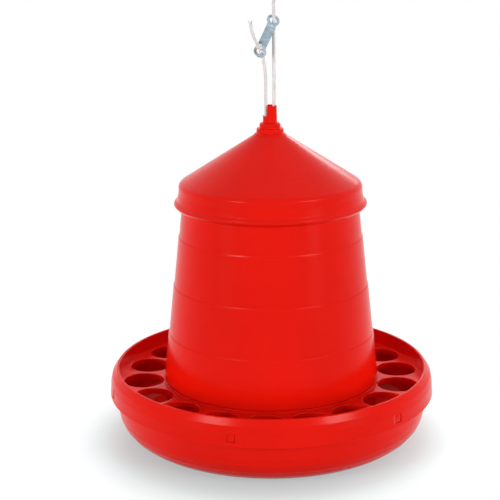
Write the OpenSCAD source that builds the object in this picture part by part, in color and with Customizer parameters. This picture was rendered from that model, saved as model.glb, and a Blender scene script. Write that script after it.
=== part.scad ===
// Gravity poultry feeder: a tapered hopper over a round pan with a grille of
// head holes, hung by a rope through a slotted lid from a rod in the middle.
// +Z is up, the front is -Y, and the origin is at the middle of the pan's foot.

/* [Pan] */
// Outer diameter of the pan's upright wall
pan_d = 382.6; // [372:0.2:392]
// Radius of the curve from the foot to the wall
pan_curve = 40; // [30:1:42]
// Thickness of the moulded walls of the pan
pan_wall = 2.4; // [1.8:0.1:3.2]
// Height of the pan's rim
pan_h = 76; // [70:0.5:84]
// Diameter of the spreading cone at its base
cone_base_d = 204; // [170:1:230]
// Height of the spreading cone
cone_h = 60; // [50:1:64]
// Diameter of the flat at the top of the spreading cone
cone_top_d = 34; // [26:1:44]

/* [Grille] */
// Number of head holes
hole_count = 18; // [12:1:18]
// Distance from a head hole to the walls on both sides of the plate
hole_edge = 0.45; // [0.3:0.05:4]
// Narrowest web between two head holes
hole_web = 5; // [3:0.5:12]
// Turn of the first head hole from the front
hole_turn = -4; // [-10:1:10]
// Depth of the plate below the grille's top lip
plate_drop = 17; // [13:0.5:20]
// Thickness of the plate
plate_t = 2.2; // [1.6:0.1:3]
// Depth of the rim around each head hole, below the plate
hole_rim = 5; // [2:0.5:8]
// Thickness of the rim around each head hole
hole_rim_t = 1.8; // [1.2:0.1:2.4]
// How far the outer band stands out beyond the pan's wall at its lower edge
band_out = 9; // [7:0.5:12]
// Height of the outer band
band_h = 31.4; // [26:0.2:36]
// Thickness of the outer band
band_t = 2.4; // [1.8:0.1:3.2]
// Number of snap lugs that hold the grille on the pan
lug_count = 6; // [3:1:9]
// Turn of the first snap lug from the front
lug_turn = -14; // [-16:1:-12]
// Width of a snap lug
lug_w = 8.4; // [6:0.2:12]
// Height of a snap lug
lug_h = 9.2; // [6:0.2:10]
// Clearance around a snap lug in its window
lug_gap = 0.4; // [0.3:0.05:0.8]

/* [Hopper] */
// Outer diameter of the hopper's skirt, inside the grille
skirt_d = 262.8; // [240:0.2:268]
// Outer diameter of the hopper at its top
hopper_top_d = 212.4; // [196:0.2:224]
// Height of the hopper's top edge above the foot
hopper_top_z = 303; // [280:1:330]
// Height of the hopper's lowest edge above the foot
hopper_low_z = 34; // [24:1:44]
// Height of one of the hopper's tiers
tier_h = 60; // [50:0.5:62]
// Number of ledges between the hopper's tiers
ledge_count = 3; // [1:1:4]
// How far a ledge stands out
ledge_out = 1; // [0.4:0.1:2]
// Thickness of the hopper's wall
hopper_wall = 2.2; // [1.6:0.1:3]
// Gap between the hopper's skirt and the grille's collar
skirt_gap = 0.6; // [0.4:0.1:2]

/* [Lid] */
// Gap between the lid's skirt and the hopper's rim
lid_gap = 0.8; // [0.5:0.1:1.5]
// Thickness of the lid's wall
lid_wall = 2.2; // [1.6:0.1:3]
// How far the lid's skirt reaches down over the hopper
lid_skirt = 19.4; // [14:0.2:24]
// How far the lid's brim stands out beyond its skirt
brim_out = 7; // [3:0.2:9]
// Rise of the lid's cone
lid_rise = 55; // [45:1:65]
// Height of the stepped boss on top of the cone
boss_h = 15.4; // [12:0.2:20]
// Outer diameter of the rope guide on top of the boss
guide_d = 17.2; // [16.6:0.1:20]
// Diameter of the way through the rope guide
guide_bore_d = 14.8; // [14.8:0.1:16]
// Height of the rope guide's lower side above the boss
guide_low_h = 8.4; // [6:0.2:12]
// Height of the rope guide's tongue above the boss
guide_h = 20.6; // [16:0.2:26]
// How far the tongue reaches left of the middle
tongue_left = 3.6; // [2:0.2:5]

/* [Hanger] */
// Diameter of the hanger rod
rod_d = 6; // [5:0.5:7]
// Inner diameter of the rod's eye
eye_d = 16; // [14:0.5:20]
// Diameter of the wire the eye is made of
eye_wire_d = 5; // [4:0.5:5]
// Running clearance, on radius, of what slides or turns on the rod
run_gap = 0.08; // [0.02:0.01:0.1]
// Diameter of the spider's hub
hub_d = 22; // [18:1:28]
// Height of the spider's hub
hub_h = 23; // [18:1:26]
// Number of the spider's arms
arm_count = 4; // [3:1:6]
// Height of a spider arm
arm_h = 12; // [8:1:16]
// Thickness of a spider arm
arm_t = 3; // [2:0.5:4]
// Diameter of the adjusting nut's body
nut_d = 22; // [18:1:28]
// Height of the adjusting nut
nut_h = 12; // [8:1:13]
// Across the corners of the hexagon nuts
hex_d = 11.5; // [10:0.5:13]
// Diameter of the rope
rope_d = 4; // [3:0.5:4]

/* [Rope tensioner] */
// Length of the tensioner's flat middle
strap_l = 23; // [20:1:28]
// Width of the tensioner's middle
strap_w = 11; // [9:0.5:13]
// Thickness of the tensioner's strip
strap_t = 1.5; // [1.2:0.1:1.8]
// Diameter of the tensioner's round ends
end_d = 15.5; // [14.5:0.5:17]
// Diameter of the rope holes in its ends
rope_hole_d = 9; // [8.8:0.1:10]
// Distance from a bend to its rope hole
hole_reach = 8.5; // [8:0.5:11]
// Radius of the bends, to the middle of the strip
bend_r = 2.1; // [1.6:0.1:3]
// Angle of the end tabs out of the middle's plane
tab_bend = 50; // [48:1:56]
// Lean of the tensioner from the upright, to the right
strap_lean = 25; // [22:1:28]
// Lean of the tensioner from the upright, to the front
strap_pitch = 6; // [0:1:8]

/* [Hidden] */
$fn = 96;
bend_over = 3;                          // degrees a bend runs into the plates it joins
bend_thin = 0.1;                        // how much thinner the bend is than they are

RED = "#E42314";
STEEL = "#A9B4BD";
ROPE = "#F2F0EC";
NYLON = "#2B2B2D";

// pan
pan_r = pan_d / 2;
wall_draft = 1.3;                       // how much wider the wall is at its top than above the curve
foot_r = pan_r - wall_draft - pan_curve;
cone_base_r = cone_base_d / 2;
cone_top_r = cone_top_d / 2;
arc_steps = 8;

// grille
skirt_r = skirt_d / 2;
collar_in_r = skirt_r + skirt_gap;      // collar that hugs the hopper's skirt
collar_t = 1.6;
collar_top = 3;                         // the collar's height above the plate
lip_z = pan_h + 8;                      // top of the grille's outer band
plate_z = lip_z - plate_drop;           // top of the plate
band_low_z = lip_z - band_h;
rim_gap = 1;                            // between the pan's rim and the channel walls
channel_r = pan_r - pan_wall - rim_gap; // outside of the channel's inner wall
channel_t = 2;
channel_lean = 2.4;                     // how far that wall leans out over its height
inner_wall_r = channel_r - channel_t;
plate_in_r = collar_in_r + collar_t;
plate_out_r = inner_wall_r - channel_lean;
hole_ring_r = (plate_in_r + plate_out_r) / 2;
hole_d = min(plate_out_r - plate_in_r - 2 * hole_edge,
    2 * hole_ring_r * sin(180 / hole_count) - hole_web);
band_r = pan_r + band_out;
window_z = band_low_z + 5;
lug_angle = lug_w / band_r * 180 / PI;
window_angle = (lug_w + 2 * lug_gap) / band_r * 180 / PI;

// hopper
top_r = hopper_top_d / 2;
base_r = skirt_r + ledge_out;           // foot of the lowest tier
taper_low_z = plate_z + collar_top + 1; // where the lowest tier begins
taper_h = hopper_top_z - 11 - taper_low_z;
taper = (base_r - ledge_count * ledge_out - top_r) / taper_h;
function ledge_z(i) = taper_low_z + 57.3 + i * tier_h;
function hopper_r(z, steps) = base_r - (z - taper_low_z) * taper - steps * ledge_out;
rim_t = 1.2;                            // how far the top rim stands out

// lid
lid_in_r = top_r + rim_t + lid_gap;
lid_r = lid_in_r + lid_wall;
lid_low_z = hopper_top_z + 0.2 - lid_skirt;
lid_seat_z = hopper_top_z + 0.2;
shoulder_z = lid_seat_z + 4;
cone_low_z = shoulder_z + 7;
boss_low_z = cone_low_z + lid_rise;
boss_r = 21;
boss_top_z = boss_low_z + boss_h;

// hanger
rod_r = rod_d / 2;
eye_r = (eye_d + eye_wire_d) / 2;
rope_low_z = 321.4;                     // middle of the rope where it carries the eye
eye_gap = 0.3;
eye_z = rope_low_z + rope_d / 2 + eye_gap + eye_wire_d / 2 - eye_r;
rod_end_z = cone_h - 14;
washer_t = 1.2;
hex_h = 5;
nut_z = cone_h + hex_h + 1;
hub_z = nut_z + nut_h + washer_t + 0.2;
hub_top_z = hub_z + hub_h;
pad_l = 14;
pad_t = 3;
pad_w = 12;
screw_r = hopper_r(hub_top_z, 0) - hopper_wall - 8;
screw_d = 2.6;
boss_screw_h = 14;

// rope routes, millimetres
main_route = [[0, 0, 321.4], [1, 0, 321.4], [3.2, 0, 321.9], [5.2, 0, 323.1],
    [6.9, 0, 324.9], [8, 0, 327.2], [8.6, 0, 330], [8.5, 0.1, 335], [8, 0.4, 341],
    [7.1, 0.8, 347], [6.2, 1.2, 353], [5.4, 1.5, 360], [5, 1.7, 367], [4.9, 1.8, 375],
    [4.9, 1.8, 385], [4.9, 1.8, 397], [4.9, 1.8, 409], [4.9, 1.8, 421],
    [4.9, 1.8, 433], [4.9, 1.8, 445], [4.9, 1.8, 457], [4.9, 1.8, 469],
    [4.9, 1.8, 481], [4.9, 1.8, 493], [4.9, 1.8, 505], [4.9, 1.8, 517],
    [4.9, 1.8, 529], [4.9, 1.8, 541], [4.9, 1.8, 550]];
return_route = [[0, 0, 321.4], [-1, 0, 321.4], [-3.2, 0, 321.9], [-5.2, 0, 323.1],
    [-6.9, 0, 324.9], [-8, 0, 327.2], [-8.6, 0, 330], [-8.5, -0.1, 335],
    [-8, -0.4, 341], [-7.1, -0.8, 347], [-6.2, -1.2, 353], [-5.4, -1.5, 360],
    [-5, -1.7, 367], [-4.9, -1.8, 375], [-4.9, -1.8, 385], [-4.9, -1.8, 396],
    [-4.9, -1.8, 407], [-4.9, -1.8, 418], [-4.9, -1.8, 428], [-5, -1.9, 437],
    [-5.4, -2.3, 445], [-6.3, -3.4, 453], [-7.9, -5.4, 461], [-9.9, -8, 468],
    [-10.9, -9.4, 471.5]];
loop_route = [[7.3, 1.8, 558], [8.7, 1.8, 563], [11.3, 1.8, 570], [14.1, 1.8, 578],
    [16.1, 1.8, 586], [16.5, 1.8, 593], [15.1, 1.8, 600], [11.7, 1.8, 605.5],
    [7.7, 1.8, 608], [4.9, 1.8, 608.5], [2.1, 1.8, 608], [-1.9, 1.8, 605.5],
    [-5.3, 1.8, 600], [-6.7, 1.8, 593], [-6.3, 1.8, 586], [-4.3, 1.8, 578],
    [-1.5, 1.8, 570], [1.1, 1.8, 563], [2.5, 1.8, 558]];
tail_route = [[-14, -12.6, 478], [-16.4, -12.9, 482], [-18.9, -12.9, 487.6],
    [-20.8, -12.7, 494], [-22, -12.4, 500.6]];
knot_at = [-12.4, -12.2, 475.6];
loop_knot_at = [4.9, 1.8, 554];
strap_at = [-3.6, -3.7, 487];

function unit(v) = v / norm(v);
function along(p, i) = unit(p[min(i + 1, len(p) - 1)] - p[max(i - 1, 0)]);
function across(t) = unit(cross(t, [0, 1, 0]));

// Round tube of diameter d swept along the points p
module sweep(p, d, sides = 8) {
    rings = len(p);
    points = [for (i = [0 : rings - 1]) let (t = along(p, i), a = across(t), b = cross(t, a))
        for (k = [0 : sides - 1])
            p[i] + d / 2 * (cos(k * 360 / sides) * a + sin(k * 360 / sides) * b)];
    walls = [for (i = [0 : rings - 2], k = [0 : sides - 1]) let (n = (k + 1) % sides)
        each [[i * sides + k, (i + 1) * sides + k, (i + 1) * sides + n],
            [i * sides + k, (i + 1) * sides + n, i * sides + n]]];
    start = [for (k = [0 : sides - 1]) k];
    finish = [for (k = [0 : sides - 1]) rings * sides - 1 - k];
    polyhedron(points, concat(walls, [start, finish]), convexity = 6);
}

// Copies of the children around the middle, the first one turned from the front
module around(count, turn = 0) {
    for (i = [0 : count - 1]) rotate([0, 0, turn - 90 + i * 360 / count]) children();
}

// Section of a ring, r across and z up, turned through an angle about the middle
module arc_block(r1, r2, z1, z2, angle) {
    rotate([0, 0, -angle / 2]) rotate_extrude(angle = angle)
        translate([r1, z1]) square([r2 - r1, z2 - z1]);
}

// The pan's wall as a section, its foot curve offset inwards by inset
function pan_curve_points(inset) = [for (i = [0 : arc_steps]) let (a = -90 + i * 90 / arc_steps)
    [foot_r + (pan_curve - inset) * cos(a), pan_curve + (pan_curve - inset) * sin(a)]];

module feed_pan() {
    slope = atan2(cone_h - pan_wall, cone_base_r - cone_top_r);
    inner_shift = pan_wall / sin(slope);
    color(RED) {
        rotate_extrude() polygon(concat(
            [[rod_r + 0.3, cone_h], [rod_r + 0.3, cone_h - pan_wall],
                [cone_top_r - 1, cone_h - pan_wall],
                [cone_base_r - inner_shift, 0]],
            pan_curve_points(0),
            [[pan_r - 0.6, pan_curve + 4], [pan_r, pan_h - 24], [pan_r, pan_h],
                [pan_r - pan_wall, pan_h], [pan_r - pan_wall, pan_h - 24]],
            [for (i = [arc_steps : -1 : 0]) pan_curve_points(pan_wall)[i]],
            [[cone_base_r, pan_wall], [cone_top_r, cone_h]]));
        around(lug_count, lug_turn)
            arc_block(pan_r - 1, band_r - 1.2, window_z + lug_gap,
                window_z + lug_gap + lug_h, lug_angle);
    }
}

module grille_section() {
    lip_r = channel_r + channel_lean;
    polygon([[inner_wall_r, plate_z - plate_t], [inner_wall_r, plate_z],
        [lip_r - channel_t, lip_z - 2.4], [lip_r - channel_t + 0.6, lip_z - 0.7],
        [lip_r - 0.4, lip_z], [lip_r + 1.2, lip_z - 0.2], [lip_r + 3.6, lip_z - 2.2],
        [lip_r + 6, lip_z - 6], [band_r - 3.6, lip_z - 11], [band_r - 2.2, lip_z - 17],
        [band_r - 0.9, lip_z - 24], [band_r, band_low_z],
        [band_r - band_t, band_low_z], [band_r - 0.9 - band_t, lip_z - 24],
        [band_r - 2.2 - band_t, lip_z - 17], [band_r - 3.6 - band_t, lip_z - 11],
        [pan_r + rim_gap, pan_h], [channel_r + rim_gap / 2, pan_h],
        [channel_r, plate_z - plate_t]]);
}

module feed_grille() {
    color(RED) difference() {
        union() {
            rotate_extrude() grille_section();
            difference() {
                translate([0, 0, plate_z - plate_t])
                    cylinder(h = plate_t, r = inner_wall_r + 0.5);
                translate([0, 0, plate_z - plate_t - 1])
                    cylinder(h = plate_t + 2, r = collar_in_r + 0.5);
            }
            translate([0, 0, plate_z - plate_t]) difference() {
                cylinder(h = plate_t + collar_top, r = collar_in_r + collar_t);
                translate([0, 0, -1]) cylinder(h = plate_t + collar_top + 2, r = collar_in_r);
            }
            around(hole_count, hole_turn) translate([hole_ring_r, 0, plate_z - plate_t - hole_rim])
                cylinder(h = hole_rim + plate_t / 2, d = hole_d + 2 * hole_rim_t);
        }
        around(hole_count, hole_turn) translate([hole_ring_r, 0, plate_z - plate_t - hole_rim - 1])
            cylinder(h = hole_rim + plate_t + 2, d = hole_d);
        around(lug_count, lug_turn)
            arc_block(pan_r + 1, band_r + 2, window_z, window_z + lug_h + 2 * lug_gap,
                window_angle);
    }
}

// The hopper's outline, its tiers, ledges and skirt offset inwards by inset
function hopper_points(inset) = concat(
    [[skirt_r - inset, hopper_low_z], [skirt_r - inset, taper_low_z - 1.4],
        [base_r - inset, taper_low_z]],
    [for (i = [0 : ledge_count - 1]) each [
        [hopper_r(ledge_z(i), i) - inset, ledge_z(i) - 0.4],
        [hopper_r(ledge_z(i), i + 1) - inset, ledge_z(i) + 0.4]]],
    [[top_r - inset, hopper_top_z - 11], [top_r - 0.4 - inset, hopper_top_z]]);

module hopper() {
    outer = hopper_points(0);
    inner = hopper_points(hopper_wall);
    rim = [[top_r - 0.2, hopper_top_z - 4], [top_r + rim_t, hopper_top_z - 3],
        [top_r + rim_t, hopper_top_z]];
    last = len(outer) - 1;
    color(RED) {
        rotate_extrude() polygon(concat([for (i = [0 : last - 1]) outer[i]], rim,
            [for (i = [last : -1 : 0]) inner[i]]));
        around(arm_count, 45) difference() {
            intersection() {
                translate([screw_r - pad_l / 2, -pad_w / 2, hub_top_z])
                    cube([40, pad_w, boss_screw_h]);
                rotate_extrude() polygon(concat([[0, hopper_low_z]],
                    hopper_points(hopper_wall / 2), [[0, hopper_top_z]]));
            }
            translate([screw_r, 0, hub_top_z - 1]) cylinder(h = 11, d = screw_d + 0.1, $fn = 24);
        }
    }
}

module hopper_spider() {
    arm_l = screw_r + pad_l / 2;
    color(RED) difference() {
        union() {
            translate([0, 0, hub_z]) cylinder(h = hub_h, d = hub_d);
            around(arm_count, 45) {
                translate([rod_r + 2, -arm_t / 2, hub_top_z - arm_h])
                    cube([arm_l - pad_l - rod_r - 2, arm_t, arm_h]);
                translate([arm_l - pad_l - 6, -pad_w / 2, hub_top_z - pad_t])
                    cube([pad_l + 6, pad_w, pad_t]);
            }
        }
        translate([0, 0, hub_z - 1]) cylinder(h = hub_h + 2, r = rod_r + run_gap);
        around(arm_count, 45) translate([screw_r, 0, hub_top_z - pad_t - 1])
            cylinder(h = pad_t + 2, d = screw_d + 0.8, $fn = 24);
    }
}

module spider_screws() {
    head_z = hub_top_z - pad_t;
    color(STEEL) around(arm_count, 45) translate([screw_r, 0, 0]) {
        translate([0, 0, head_z - 2.4]) cylinder(h = 2.4, r1 = 2.2, r2 = 3.2, $fn = 32);
        translate([0, 0, head_z - 1]) cylinder(h = 10, d = screw_d, $fn = 24);
    }
}

module adjusting_washer() {
    color(STEEL) translate([0, 0, nut_z + nut_h + 0.1]) difference() {
        cylinder(h = washer_t, d = hub_d - 4);
        translate([0, 0, -1]) cylinder(h = washer_t + 2, r = rod_r + 0.3);
    }
}

module adjusting_nut() {
    lobes = 6;
    color(NYLON) translate([0, 0, nut_z]) difference() {
        union() {
            cylinder(h = nut_h, d = nut_d);
            around(lobes) translate([nut_d / 2, 0, 0]) cylinder(h = nut_h, d = 7, $fn = 32);
        }
        translate([0, 0, -1]) cylinder(h = nut_h + 2, r = rod_r + run_gap);
    }
}

module lid() {
    lean = atan2(lid_rise, lid_r - 3 - boss_r);
    drop = lid_wall / cos(lean);
    brim_z = lid_low_z + 6;
    color(RED) difference() {
        rotate_extrude() polygon([
            [lid_in_r, lid_low_z], [lid_r + 2, lid_low_z],
            [lid_r + brim_out - 1, brim_z - 3], [lid_r + brim_out, brim_z - 0.5],
            [lid_r + brim_out - 1, brim_z + 1], [lid_r + 2, brim_z + 2.4],
            [lid_r + 0.4, brim_z + 5], [lid_r, shoulder_z - 4], [lid_r, shoulder_z],
            [lid_r - 0.6, shoulder_z + 3.5], [lid_r - 3, cone_low_z], [boss_r, boss_low_z],
            [boss_r - 3.6, boss_low_z + 3.4], [boss_r - 4.8, boss_low_z + 3.8],
            [boss_r - 4.8, boss_low_z + 8.8], [boss_r - 8.2, boss_low_z + 9.4],
            [boss_r - 8.4, boss_top_z - 1.6], [boss_r - 10, boss_top_z],
            [guide_d / 2, boss_top_z], [guide_d / 2 - 0.2, boss_top_z + guide_h],
            [guide_bore_d / 2, boss_top_z + guide_h], [guide_bore_d / 2, boss_low_z + 6],
            [boss_r - 8, boss_low_z + 2], [boss_r - 2, boss_low_z - drop],
            [lid_r - 3 - 2 * lid_wall, cone_low_z - drop],
            [lid_in_r - 3.6, lid_seat_z + 2], [lid_in_r - 3.6, lid_seat_z],
            [lid_in_r, lid_seat_z]]);
        translate([-guide_d - tongue_left, -guide_d, boss_top_z + guide_low_h])
            cube([guide_d, 2 * guide_d, guide_h]);
    }
}

module hanger_rod() {
    color(STEEL) {
        translate([0, 0, rod_end_z]) cylinder(h = eye_z - eye_r + 0.5 - rod_end_z, r = rod_r, $fn = 48);
        translate([0, 0, eye_z]) rotate([0, 90, 0]) rotate_extrude()
            translate([eye_r, 0]) circle(d = eye_wire_d, $fn = 32);
    }
}

// Hexagon nut standing on the height z
module hex_nut(z) {
    translate([0, 0, z]) difference() {
        cylinder(h = hex_h, d = hex_d, $fn = 6);
        translate([0, 0, -1]) cylinder(h = hex_h + 2, r = rod_r + 0.05);
    }
}

module rod_lock_nut() {
    color(STEEL) hex_nut(cone_h);
}

module pan_washer() {
    color(STEEL) translate([0, 0, cone_h - pan_wall - washer_t]) difference() {
        cylinder(h = washer_t, d = cone_top_d - 10);
        translate([0, 0, -1]) cylinder(h = washer_t + 2, r = rod_r + 0.3);
    }
}

module pan_nut() {
    color(STEEL) hex_nut(cone_h - pan_wall - washer_t - hex_h);
}

module rope_main() {
    color(ROPE) sweep(main_route, rope_d);
}

module hanging_loop() {
    color(ROPE) sweep(loop_route, rope_d);
}

module loop_knot() {
    color(ROPE) translate(loop_knot_at) {
        translate([0, 0, -2.4]) sphere(d = 9, $fn = 32);
        translate([0, 0, 2.4]) sphere(d = 10, $fn = 32);
    }
}

module rope_return() {
    color(ROPE) sweep(return_route, rope_d);
}

module end_knot() {
    color(ROPE) translate(knot_at) sphere(d = 8, $fn = 32);
}

module rope_tail() {
    color(ROPE) sweep(tail_route, rope_d);
}

// One end of the tensioner: a bend that starts at the origin, and a tab with its hole
module tensioner_tab() {
    translate([0, bend_r, 0]) {
        rotate([90, 0, -90]) rotate([0, 0, -bend_over])
            rotate_extrude(angle = tab_bend + 2 * bend_over) translate([bend_r, 0])
                square([strap_t - bend_thin, strap_w - bend_thin], center = true);
        rotate([-tab_bend, 0, 0]) translate([0, -bend_r, 0]) difference() {
            union() {
                translate([-strap_w / 2, -strap_t / 2, 0])
                    cube([strap_w, strap_t, hole_reach]);
                translate([0, strap_t / 2, hole_reach]) rotate([90, 0, 0])
                    cylinder(h = strap_t, d = end_d, $fn = 48);
            }
            translate([0, strap_t, hole_reach]) rotate([90, 0, 0])
                cylinder(h = 2 * strap_t, d = rope_hole_d, $fn = 48);
        }
    }
}

module rope_tensioner() {
    color(STEEL) translate(strap_at) rotate([strap_pitch, 0, 0]) rotate([0, strap_lean, 0]) {
        translate([-strap_w / 2, -strap_t / 2, -strap_l / 2])
            cube([strap_w, strap_t, strap_l]);
        translate([0, 0, strap_l / 2]) tensioner_tab();
        translate([0, 0, -strap_l / 2]) rotate([180, 0, 0]) tensioner_tab();
    }
}

feed_pan();
feed_grille();
hopper();
hopper_spider();
spider_screws();
adjusting_nut();
adjusting_washer();
lid();
hanger_rod();
rod_lock_nut();
pan_washer();
pan_nut();
rope_main();
hanging_loop();
loop_knot();
rope_return();
end_knot();
rope_tail();
rope_tensioner();
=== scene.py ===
"""A hanging gravity feeder for poultry: a red hopper and lid over a round feed pan with a grille of head holes."""

import math

import bmesh
import bpy
from mathutils import Matrix, Vector


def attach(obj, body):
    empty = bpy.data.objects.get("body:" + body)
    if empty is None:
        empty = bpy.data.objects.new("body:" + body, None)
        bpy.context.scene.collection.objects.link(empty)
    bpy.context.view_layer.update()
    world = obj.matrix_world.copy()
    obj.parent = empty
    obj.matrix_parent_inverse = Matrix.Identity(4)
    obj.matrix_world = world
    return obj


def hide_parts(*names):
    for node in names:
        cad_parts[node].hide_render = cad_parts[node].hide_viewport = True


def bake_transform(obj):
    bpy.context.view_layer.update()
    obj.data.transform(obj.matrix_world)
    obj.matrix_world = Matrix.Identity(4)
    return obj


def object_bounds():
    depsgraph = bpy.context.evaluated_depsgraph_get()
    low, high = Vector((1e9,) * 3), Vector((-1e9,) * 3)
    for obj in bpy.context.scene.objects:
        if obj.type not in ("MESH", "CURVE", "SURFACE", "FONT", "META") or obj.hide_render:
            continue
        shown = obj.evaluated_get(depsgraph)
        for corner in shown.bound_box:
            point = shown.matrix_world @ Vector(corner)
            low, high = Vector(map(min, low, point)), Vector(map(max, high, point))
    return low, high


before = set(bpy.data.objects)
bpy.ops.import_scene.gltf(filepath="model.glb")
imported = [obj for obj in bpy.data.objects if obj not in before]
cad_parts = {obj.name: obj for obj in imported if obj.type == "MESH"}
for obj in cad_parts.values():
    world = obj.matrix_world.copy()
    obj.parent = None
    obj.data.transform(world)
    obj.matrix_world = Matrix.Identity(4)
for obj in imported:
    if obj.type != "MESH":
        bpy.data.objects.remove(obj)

MM = 0.001
cad_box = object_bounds()


# ---------------------------------------------------------------- camera

VIEW_PITCH = math.radians(14.7)
VIEW_DISTANCE = 1.586
VIEW_AIM = Vector((-0.0251, 0, 0.2281))
VIEW_ROLL = math.radians(0.5)
LENS = 93.6


def make_camera():
    data = bpy.data.cameras.new("camera")
    data.lens = LENS
    data.clip_start = 0.05
    data.clip_end = 50
    camera = bpy.data.objects.new("camera", data)
    bpy.context.scene.collection.objects.link(camera)
    back = Vector((0, -math.cos(VIEW_PITCH), math.sin(VIEW_PITCH)))
    camera.location = VIEW_AIM + back * VIEW_DISTANCE
    camera.rotation_euler = (math.pi / 2 - VIEW_PITCH, 0, 0)
    camera.rotation_euler.rotate_axis("Z", -VIEW_ROLL)
    bpy.context.scene.camera = camera


make_camera()


# ---------------------------------------------------------------- colours and nodes


def srgb(code):
    """Linear colour from an sRGB hex code."""
    parts = [int(code[i : i + 2], 16) / 255 for i in (1, 3, 5)]
    return [c / 12.92 if c <= 0.04045 else ((c + 0.055) / 1.055) ** 2.4 for c in parts] + [1.0]


def node(tree, kind, links=None, stops=(), **settings):
    """Adds a node. A setting is the node's own, or an input's value with _ for each space; links
    joins inputs to sockets; stops are the (position, hex code) colours of a ramp."""
    n = tree.nodes.new(kind)
    for key, value in settings.items():
        if hasattr(n, key):
            setattr(n, key, value)
        else:
            n.inputs[key.replace("_", " ")].default_value = value
    for key, source in (links or {}).items():
        tree.links.new(source, n.inputs[key])
    for i, (place, code) in enumerate(stops):
        band = n.color_ramp.elements
        element = band[i] if i < len(band) else band.new(place)
        element.position, element.color = place, srgb(code)
    return n


def new_material(name):
    material = bpy.data.materials.new(name)
    material.use_nodes = True
    tree = material.node_tree
    tree.nodes.clear()
    return material, tree


def finish_material(tree, shader):
    node(tree, "ShaderNodeOutputMaterial", {"Surface": shader.outputs[0]})


# ---------------------------------------------------------------- materials


def moulded_polypropylene():
    """Glossy red polypropylene, injection moulded: it gives a deep even red with soft, slightly
    wavy reflections, faint flow marks, and fine scuffs that dull the gloss here and there."""
    material, tree = new_material("moulded red polypropylene")
    place = node(tree, "ShaderNodeTexCoord").outputs["Object"]
    # flow marks, 70 mm across
    flow = node(tree, "ShaderNodeTexNoise", {"Vector": place}, Scale=14, Detail=3, Roughness=0.55)
    tone = node(tree, "ShaderNodeValToRGB", {"Fac": flow.outputs["Fac"]}, [(0.3, "#E11406"), (0.7, "#E81507")])
    # scuffs 0.7 mm wide and 4 mm long, running round the part
    squeeze = node(tree, "ShaderNodeMapping", {"Vector": place}, Scale=(260, 260, 1400))
    scuffs = node(tree, "ShaderNodeTexNoise", {"Vector": squeeze.outputs[0]}, Scale=1, Detail=4, Roughness=0.6)
    dull = node(tree, "ShaderNodeMapRange", {"Value": scuffs.outputs["Fac"]},
                From_Min=0.45, From_Max=0.8, To_Min=0.21, To_Max=0.31)
    # the mould's own waviness, 30 mm from crest to crest, and a fine skin of 0.8 mm
    wave = node(tree, "ShaderNodeTexNoise", {"Vector": place}, Scale=34, Detail=1)
    skin = node(tree, "ShaderNodeTexNoise", {"Vector": place}, Scale=1200, Detail=2)
    low = node(tree, "ShaderNodeBump", {"Height": wave.outputs["Fac"]}, Strength=0.3, Distance=0.0004)
    fine = node(tree, "ShaderNodeBump", {"Height": skin.outputs["Fac"], "Normal": low.outputs["Normal"]},
                Strength=0.15, Distance=0.00002)
    finish_material(tree, node(
        tree, "ShaderNodeBsdfPrincipled",
        {"Base Color": tone.outputs["Color"], "Roughness": dull.outputs["Result"], "Normal": fine.outputs["Normal"]},
        IOR=1.49, Specular_IOR_Level=0.1, Subsurface_Weight=0.06, Subsurface_Radius=(0.6, 0.12, 0.05),
        Subsurface_Scale=0.003))
    return material


def moulded_nylon():
    """Black glass-filled nylon of the adjusting nut: satin, with a skin mottled about 1 mm across."""
    material, tree = new_material("moulded black nylon")
    place = node(tree, "ShaderNodeTexCoord").outputs["Object"]
    mottle = node(tree, "ShaderNodeTexNoise", {"Vector": place}, Scale=900, Detail=3)
    tone = node(tree, "ShaderNodeValToRGB", {"Fac": mottle.outputs["Fac"]}, [(0.35, "#202022"), (0.7, "#303033")])
    bump = node(tree, "ShaderNodeBump", {"Height": mottle.outputs["Fac"]}, Strength=0.3, Distance=0.00005)
    finish_material(tree, node(
        tree, "ShaderNodeBsdfPrincipled", {"Base Color": tone.outputs["Color"], "Normal": bump.outputs["Normal"]},
        Roughness=0.45, IOR=1.53))
    return material


def zinc_plate(name, grain):
    """Bright zinc plating with a blue passivation on pressed steel: a cool grey metal whose
    rolled grain smears the reflections, with cloudy patches where the bath left it duller."""
    material, tree = new_material(name)
    place = node(tree, "ShaderNodeTexCoord").outputs["Object"]
    # clouds of the bath, 4 mm across
    cloud = node(tree, "ShaderNodeTexNoise", {"Vector": place}, Scale=260, Detail=4, Roughness=0.6)
    tone = node(tree, "ShaderNodeValToRGB", {"Fac": cloud.outputs["Fac"]},
                [(0.3, "#8FA3B1"), (0.55, "#A3B5C1"), (0.75, "#C4D0D8")])
    # rolling grain, as many lines to the metre as grain gives
    squeeze = node(tree, "ShaderNodeMapping", {"Vector": place}, Scale=grain)
    lines = node(tree, "ShaderNodeTexNoise", {"Vector": squeeze.outputs[0]}, Scale=1, Detail=3)
    rough = node(tree, "ShaderNodeMapRange", {"Value": lines.outputs["Fac"]},
                 From_Min=0.3, From_Max=0.7, To_Min=0.24, To_Max=0.4)
    bump = node(tree, "ShaderNodeBump", {"Height": lines.outputs["Fac"]}, Strength=0.3, Distance=0.00004)
    finish_material(tree, node(
        tree, "ShaderNodeBsdfPrincipled",
        {"Base Color": tone.outputs["Color"], "Roughness": rough.outputs["Result"], "Normal": bump.outputs["Normal"]},
        Metallic=1.0))
    return material


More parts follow.
